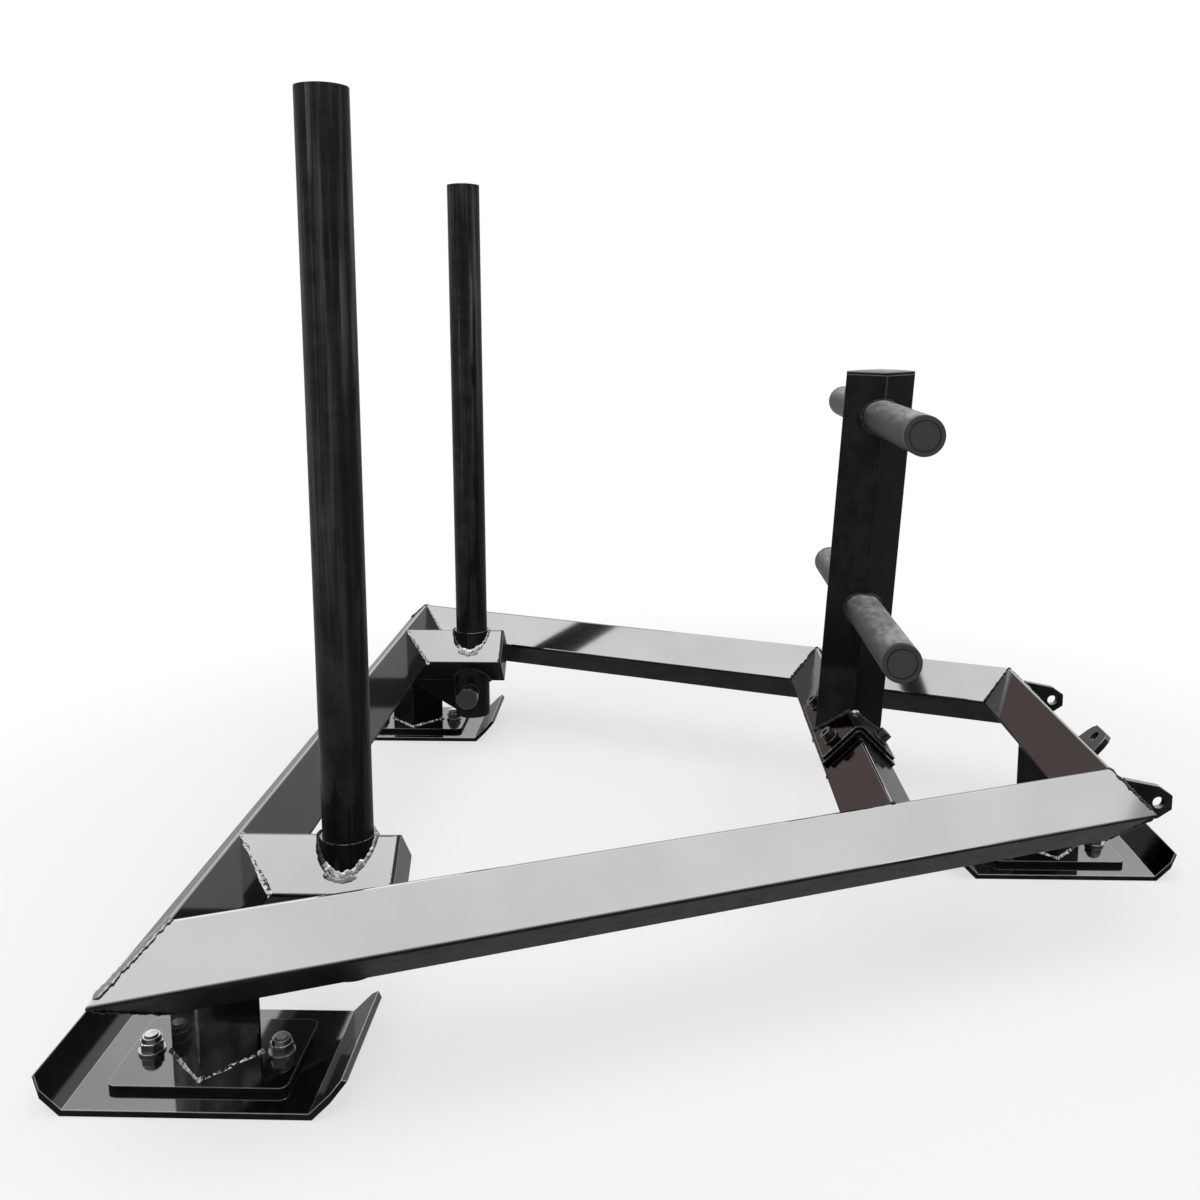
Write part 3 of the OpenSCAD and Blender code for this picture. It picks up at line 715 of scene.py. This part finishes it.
def seam_corners(x, half, outward):
    """Ridge, outer edge, keel and inner edge of a corner on the +Y side."""
    reach = HALF * (1 - outward * math.sin(SLANT)) / math.cos(SLANT)
    ridge = Vector((x, half, AXIS_Z + HALF - ROUND))
    keel = Vector((x, half, AXIS_Z - HALF + ROUND))
    outer_y = half - outward * reach * math.sin(SLANT) + HALF * math.cos(SLANT)
    outer = Vector((x + outward * HALF, outer_y, AXIS_Z))
    inner = Vector((2 * x - outer.x, 2 * half - outer.y, AXIS_Z))
    return ridge, outer, keel, inner


seams = 0
for side, hand_name in SIDES:
    for end_name, x, half, outward, top_bead, under_bead in CORNERS:
        ridge, outer, keel, inner = seam_corners(x, half, outward)
        top = mirrored([ridge.lerp(outer, TOP_STOP), ridge, inner], side)
        under = mirrored([keel.lerp(outer, UNDER_STOP), keel, inner], side)
        name = hand_name + "_" + end_name + "_seam"
        lay_bead(name + "_top", top, (outward, side, 1.4), **top_bead)
        lay_bead(name + "_under", under, (outward, side, -1.4), **under_bead)
        seams += 2
print("corner seams:", seams)

# %% [markdown]
# ## Stubs and their caps
# Each stub is coped to the rear rail, so its weld is a V over the rail's
# flank, broad and bright on top. The cap that closes the stub has a much
# finer bead. The paths are worked out for the left side, and a mirrored copy
# of each serves the right. The next cell only works them out.

# %% Paths round the sockets
POLE_X, POLE_Y = -0.344, 0.3675
SLEEVE_R = 0.0265
LOCK_Z = 0.092
BOSS_R = 0.0125
RIDGE_Z = AXIS_Z + HALF - ROUND
ON_SEAM, PAST_SEAM = 0.0018, 0.0062
COLLAR_BEADS = (
    ("outer", 48, 132, ON_SEAM, (0.0112, weld_coat, 0.5, 1.35)),
    ("rear", 132, 228, ON_SEAM, (0.0095, shaded_weld_coat, 0.7, 2.2)),
    ("inner", 228, 312, ON_SEAM, (0.0112, weld_coat, 0.5, 1.35)),
    ("front", -48, 48, ON_SEAM, (0.009, weld_coat, 0.45, 2.2)),
    ("outer_pass", 66, 118, PAST_SEAM, (0.0088, seam_weld_coat, 0.4, 1.2)),
    ("inner_pass", 242, 294, PAST_SEAM, (0.0088, seam_weld_coat, 0.4, 1.2)),
)


def turned_over(points):
    """The same path on the underside of the tube."""
    return [(x, y, 2 * AXIS_Z - z) for x, y, z in points]


def ring(count, first=0.0, last=2 * math.pi):
    return [first + (last - first) * i / count for i in range(count + 1)]


def on_collar(a, out=ON_SEAM):
    """A point of the seam between sleeve and stub, at one angle round the pole."""
    r = SLEEVE_R + out
    fall = r * abs(math.sin(a))
    return (POLE_X + r * math.cos(a), POLE_Y + r * math.sin(a), AXIS_Z + HALF - fall - 0.0005)


def on_boss(a):
    """A point of the seam between the lock's boss and the sleeve."""
    aside = BOSS_R * math.cos(a)
    y = POLE_Y - math.sqrt(SLEEVE_R ** 2 - aside ** 2) - 0.0004
    return (POLE_X + aside, y, LOCK_Z + BOSS_R * math.sin(a))


def off_stub(side):
    """Forwards, and away from the stub's ridge to either side."""
    return lambda at: Vector((1.0, 1.0 if at.y > side * POLE_Y else -1.0, 2.0))


def from_pole(side):
    """Away from the pole, and up or down with the flank."""
    return lambda at: Vector((at.x - POLE_X, at.y - side * POLE_Y, 0.016 if at.z > AXIS_Z else -0.016))


print("paths ready")

# %% [markdown]
# ## Sockets, gussets and bosses
# The sleeve stands through the stub, so its weld follows a circle that falls
# with the flanks on both sides and looks like a U from either side. A second
# pass lies beside it at the lowest part of each U. The gusset and the lock's
# boss have short beads of their own.

# %% Welds round the sockets
GUSSET_SIDE = 0.0033
GUSSET_LOW, GUSSET_HIGH = 0.0575, 0.099
FACES = ((-1, "in"), (1, "out"))
stub = [
    (REAR_X + HALF, POLE_Y - HALF, AXIS_Z),
    (REAR_X + 0.0045, POLE_Y, RIDGE_Z - 0.0025),
    (REAR_X + HALF, POLE_Y + HALF, AXIS_Z),
]

for side, hand_name in SIDES:
    lay_bead(hand_name + "_stub_weld", mirrored(stub, side), off_stub(side), 0.0138,
             flat=0.5, calm=1.2)
    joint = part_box(hand_name + "_stub_cap")[0].x - 0.0003
    cap = [
        (joint, POLE_Y - HALF + 0.001, AXIS_Z + 0.0005),
        (joint, POLE_Y, RIDGE_Z - 0.0004),
        (joint, POLE_Y + HALF - 0.001, AXIS_Z + 0.0005),
    ]
    lay_bead(hand_name + "_cap_weld", mirrored(cap, side), (0, 0, 1), 0.0034,
             shaded_weld_coat, 0.5, 1.3)
    lay_bead(hand_name + "_stub_weld_under", mirrored(turned_over(stub), side), (1, 0, -0.8),
             0.0075, flat=0.8)
    for part, first, last, out, bead in COLLAR_BEADS:
        collar = [on_collar(math.radians(first + (last - first) * i / 12), out) for i in range(13)]
        lay_bead(hand_name + "_collar_weld_" + part, mirrored(collar, side), from_pole(side), *bead)
    under = turned_over([on_collar(a) for a in ring(48)])
    lay_bead(hand_name + "_collar_weld_under", mirrored(under, side), from_pole(side), 0.007,
             shaded_weld_coat)
    boss = [on_boss(a) for a in ring(24, -0.5, math.pi + 0.5)]
    lay_bead(hand_name + "_boss_weld", mirrored(boss, side), (0, -side, 0), 0.0058, shaded_weld_coat)
    for face, face_name in FACES:
        x, y = POLE_X - SLEEVE_R - 0.0006, POLE_Y + face * GUSSET_SIDE
        tip = mirrored([(x, y, GUSSET_LOW), (x, y, GUSSET_HIGH)], side)
        lay_bead(hand_name + "_gusset_weld_" + face_name, tip, (-0.7, 0.7 * face * side, 0), 0.005,
                 shaded_weld_coat)
print("socket welds done")

# %% [markdown]
# ## Legs
# A leg is a square tube turned by 45 degrees, so the weld at its foot reads
# as a V from any side. At the top it is coped to the rail, with a bead on the
# rear side, and the two rear legs have one on the front side too.

# %% Welds of the legs
LEG_OUT = 0.445
SOLE_Z = 0.012
LEG_REACH = HALF - 0.0012
LEGS = {"left": (REAR_X, LEG_OUT), "right": (REAR_X, -LEG_OUT), "front": (FRONT_X, 0.0)}


def from_axis(x, y):
    """Away from an upright axis, and a little upwards."""
    return lambda at: Vector((at.x - x, at.y - y, 0.03))


for leg_name, (x, y) in LEGS.items():
    r = LEG_REACH
    foot = [(x + r, y), (x, y + r), (x - r, y), (x, y - r), (x + r, y)]
    lay_bead(leg_name + "_foot_weld", [(px, py, SOLE_Z) for px, py in foot], from_axis(x, y),
             0.0132, flat=0.6, calm=1.4)
    low, high = AXIS_Z - HALF, AXIS_Z - 0.004
    top = [(x, y - r, low), (x - r + 0.004, y, high), (x, y + r, low)]
    lay_bead(leg_name + "_leg_weld", top, (-1, 0, -0.6), 0.006, shaded_weld_coat)
    if leg_name != "front":
        top = [(x, y - r, low), (x + r - 0.004, y, high), (x, y + r, low)]
        lay_bead(leg_name + "_leg_weld_front", top, (1, 0, -0.6), 0.006, shaded_weld_coat)
print("leg welds done")

# %% [markdown]
# ## The mid rail
# The mid rail ends in the same kind of cope as the stubs, against the inner
# edges of the side rails, and these run aslant. So each bead's ends are
# worked out from the slant.

# %% Welds of the mid rail
MID_X = 0.192


def axis_y(x):
    """How far out the side rail's axis is."""
    return REAR_HALF - (x - REAR_X) * math.tan(SLANT)


def inner_edge_y(x):
    return axis_y(x) - HALF / math.cos(SLANT)


cope = [
    (MID_X - HALF, inner_edge_y(MID_X - HALF), AXIS_Z),
    (MID_X, axis_y(MID_X) - 0.002, RIDGE_Z),
    (MID_X + HALF, inner_edge_y(MID_X + HALF), AXIS_Z),
]
for side, hand_name in SIDES:
    lay_bead(hand_name + "_mid_rail_weld", mirrored(cope, side), (0, -side, 0.8), 0.0062,
             shaded_weld_coat)
    lay_bead(hand_name + "_mid_rail_weld_under", mirrored(turned_over(cope), side),
             (0, -side, -0.8), 0.0062, shaded_weld_coat)
print("mid rail welds done")

# %% [markdown]
# ## The mast's foot
# The mast stands astride its folded saddle and leans forwards, so its foot is
# a square that has to be followed down the folds. The photograph shows a
# bright blob on the near corner of the ridge, so both such corners get one.

# %% Welds of the mast
FOLD_R = 0.010
SADDLE_REACH = 0.040  # half of the tube and two plates of 5 mm
SADDLE_RIDGE = AXIS_Z + SADDLE_REACH * math.sqrt(2)
LEAN = math.tan(math.radians(3.6))
MAST_CORNERS = ((1, 0), (0, 1), (-1, 0), (0, -1), (1, 0))


def saddle_z(x):
    """Height of the saddle's outside over the mid rail."""
    off = abs(x - MID_X)
    if off < FOLD_R / math.sqrt(2):
        return SADDLE_RIDGE - FOLD_R * math.sqrt(2) + math.sqrt(FOLD_R ** 2 - off ** 2)
    return SADDLE_RIDGE - off


def mast_foot(quarter, share):
    """A point of the mast's foot, quarter by quarter from its +X corner."""
    first, last = MAST_CORNERS[quarter:quarter + 2]
    u = (first[0] * (1 - share) + last[0] * share) * HALF
    v = (first[1] * (1 - share) + last[1] * share) * HALF
    x = MID_X + u
    for _ in range(3):
        x = MID_X + u + (saddle_z(x) - AXIS_Z) * LEAN
    return (x, v, saddle_z(x))


foot = [mast_foot(q, i / 12) for q in range(4) for i in range(12)] + [mast_foot(3, 1.0)]
lay_bead("mast_foot_weld", foot, from_axis(MID_X, 0), 0.0075, shaded_weld_coat)
for side, hand_name in SIDES:
    blob = [
        (MID_X + 0.0015, side * (HALF - 0.0005), SADDLE_RIDGE - 0.0035),
        (MID_X + 0.006, side * (HALF - 0.0015), SADDLE_RIDGE - 0.004),
    ]
    lay_bead(hand_name + "_mast_foot_weld_end", blob, (0, side, 0.7), 0.0078)
print("mast welds done")

# %% [markdown]
# ## Handle roots
# The handles run right through the mast, which stands cornerwise, so each
# root weld is a ring that bends back on both sides of the corner.

# %% Welds of the handles
HANDLE_R = 0.0212
HANDLES = (("upper", 0.56), ("lower", 0.325))


def mast_x(z):
    """How far forwards the leaning mast's axis is at one height."""
    return MID_X + (z - AXIS_Z) * LEAN


def from_bar(x, z):
    """Away from the axis of a cross handle."""
    return lambda at: Vector((at.x - x, 0, at.z - z))


for bar_name, height in HANDLES:
    x = mast_x(height)
    r = HANDLE_R + 0.0006
    root = []
    for a in ring(40):
        px, pz = x + r * math.cos(a), height + r * math.sin(a)
        root.append((px, HALF - abs(px - mast_x(pz)) + 0.0004, pz))
    for side, hand_name in SIDES:
        lay_bead(bar_name + "_" + hand_name + "_root_weld", mirrored(root, side),
                 from_bar(x, height), 0.0072, shaded_weld_coat, 0.9)
print("handle welds done")

# %% [markdown]
# ## Tow lugs and spatter
# The lugs have short beads along their roots. A welder also leaves drops of
# spatter: here two on the mid rail's rear edge, one beside its ridge and one
# under the flank of the right rail. They are very short beads.

# %% Welds of the lugs, and drops
LUG_OUT = 0.174
LUG_SIDE = 0.0042
LUG_X, LUG_UP = FRONT_X + 0.0195, 0.0235
TONGUE_X, TONGUE_HALF = FRONT_X + HALF + 0.0006, 0.024
MID_EDGE_X = MID_X - 0.0409
DROPS = (
    ((MID_EDGE_X, 0.003, AXIS_Z), (-1, 0, 0.3)),
    ((MID_EDGE_X, -0.115, AXIS_Z), (-1, 0, 0.3)),
    ((MID_X - 0.0055, -0.217, AXIS_Z + 0.0362), (-1, 0, 1)),
    ((-0.371, -0.5052, 0.1112), (0, -1, -1)),
)

for side, hand_name in SIDES:
    for face, face_name in FACES:
        y = LUG_OUT + face * LUG_SIDE
        root = [(LUG_X, y, AXIS_Z + LUG_UP), (FRONT_X + HALF - 0.001, y, AXIS_Z),
                (LUG_X, y, AXIS_Z - LUG_UP)]
        lay_bead(hand_name + "_lug_weld_" + face_name, mirrored(root, side),
                 (0.6, 0.8 * face * side, 0), 0.005)
tongue = [(TONGUE_X, -TONGUE_HALF, AXIS_Z), (TONGUE_X, TONGUE_HALF, AXIS_Z)]
lay_bead("centre_lug_weld", tongue, (1, 0, 1), 0.0045, shaded_weld_coat)
for count, (place, outward) in enumerate(DROPS):
    start = Vector(place)
    path = [start, start + Vector((0, 0.0045, 0))]
    lay_bead("weld_drop_%d" % count, path, outward, 0.0062, shaded_weld_coat, 0.8)
bpy.data.objects.remove(ripple)
beads = [o for o in bpy.data.objects if "weld" in o.name or "seam" in o.name]
print(len(beads), "beads,", sum(len(o.data.polygons) for o in beads), "faces")

# %% [markdown]
# ## The floor
# A gloss black object shows nothing but what is round it, so the studio is
# part of the finish. The floor is plain and pale, and nearly white farther
# out, and it keeps the sled's shadow.

# %% Floor
bpy.ops.object.select_all(action="DESELECT")
bpy.ops.mesh.primitive_plane_add(size=40, location=(0, 0, -0.0006))
floor = bpy.context.object
floor.name = "floor"
paper = Finish("pale_floor")
seen = paper.node("ShaderNodeLightPath")
far = paper.along("LENGTH", paper.place())
open_paper = 0.66 + far.between(0.6, 1.3) * 0.34
shown = (seen["Is Camera Ray"] + seen["Is Glossy Ray"] + seen["Is Transmission Ray"]).between(0.0, 1.0)
matt = paper.node("ShaderNodeBsdfDiffuse", None, {"Color": grey(0.86)})["BSDF"]
white = paper.node("ShaderNodeEmission", None, {"Color": grey(1.0), "Strength": 1.0})["Emission"]
mixed = paper.node("ShaderNodeMixShader", None, {0: shown * open_paper, 1: matt, 2: white})[0]
paper.node("ShaderNodeOutputMaterial", None, {"Surface": mixed})
floor.data.materials.append(paper.material)
print("floor ready")

# %% [markdown]
# ## The studio's walls
# The camera and every mirror see a white wall all round, and the matt
# surfaces get only a weak fill from it, so that the lamps shape the sled.

# %% World
bpy.context.scene.view_settings.view_transform = "Standard"
world = bpy.data.worlds.new("studio")
bpy.context.scene.world = world
world.use_nodes = True
sky = Tree(world.node_tree)
ray = sky.node("ShaderNodeLightPath")
sees_wall = ray["Is Camera Ray"]
for kind in ("Is Glossy Ray", "Is Transmission Ray"):
    sees_wall = sees_wall.math("MAXIMUM", sees_wall, ray[kind])
fill = sky.node("ShaderNodeBackground", None, {"Color": grey(1.0), "Strength": 0.3})[0]
wall = sky.node("ShaderNodeBackground", None, {"Color": grey(1.0), "Strength": 1.0})[0]
choice = sky.node("ShaderNodeMixShader", None, {0: sees_wall, 1: fill, 2: wall})[0]
sky.node("ShaderNodeOutputWorld", None, {"Surface": choice})
print("walls ready")

# %% [markdown]
# ## Lamps
# Overhead hangs one very large soft lamp, long enough to be mirrored in every
# upward flank, and two tall ones stand at the sides to draw a streak down
# each pole. Together they light a white card to about white.

# %% Lamps
LAMPS = (
    ("overhead_lamp", (0.35, -0.6, 2.3), (0.35, -0.59, 0.0), (5.0, 2.6), 1.42),
    ("left_strip_lamp", (-2.2, -1.9, 1.0), (-0.2, 0.0, 0.5), (0.35, 2.0), 1.6),
    ("right_strip_lamp", (2.3, -1.5, 1.0), (0.0, 0.0, 0.5), (0.35, 2.0), 1.3),
)


def soft_lamp(name, place, target, size, radiance):
    """An area lamp whose watts follow from its size and how bright it looks."""
    bpy.ops.object.select_all(action="DESELECT")
    bpy.ops.object.light_add(type="AREA", location=place)
    lamp = bpy.context.object
    lamp.name = name
    lamp.data.shape = "RECTANGLE"
    lamp.data.size, lamp.data.size_y = size
    lamp.data.energy = radiance * math.pi * size[0] * size[1]
    way = Vector(target) - Vector(place)
    lamp.rotation_mode = "QUATERNION"
    lamp.rotation_quaternion = way.to_track_quat("-Z", "Y")
    lamp.visible_camera = False
    print(name, round(lamp.data.energy), "W")


for settings in LAMPS:
    soft_lamp(*settings)
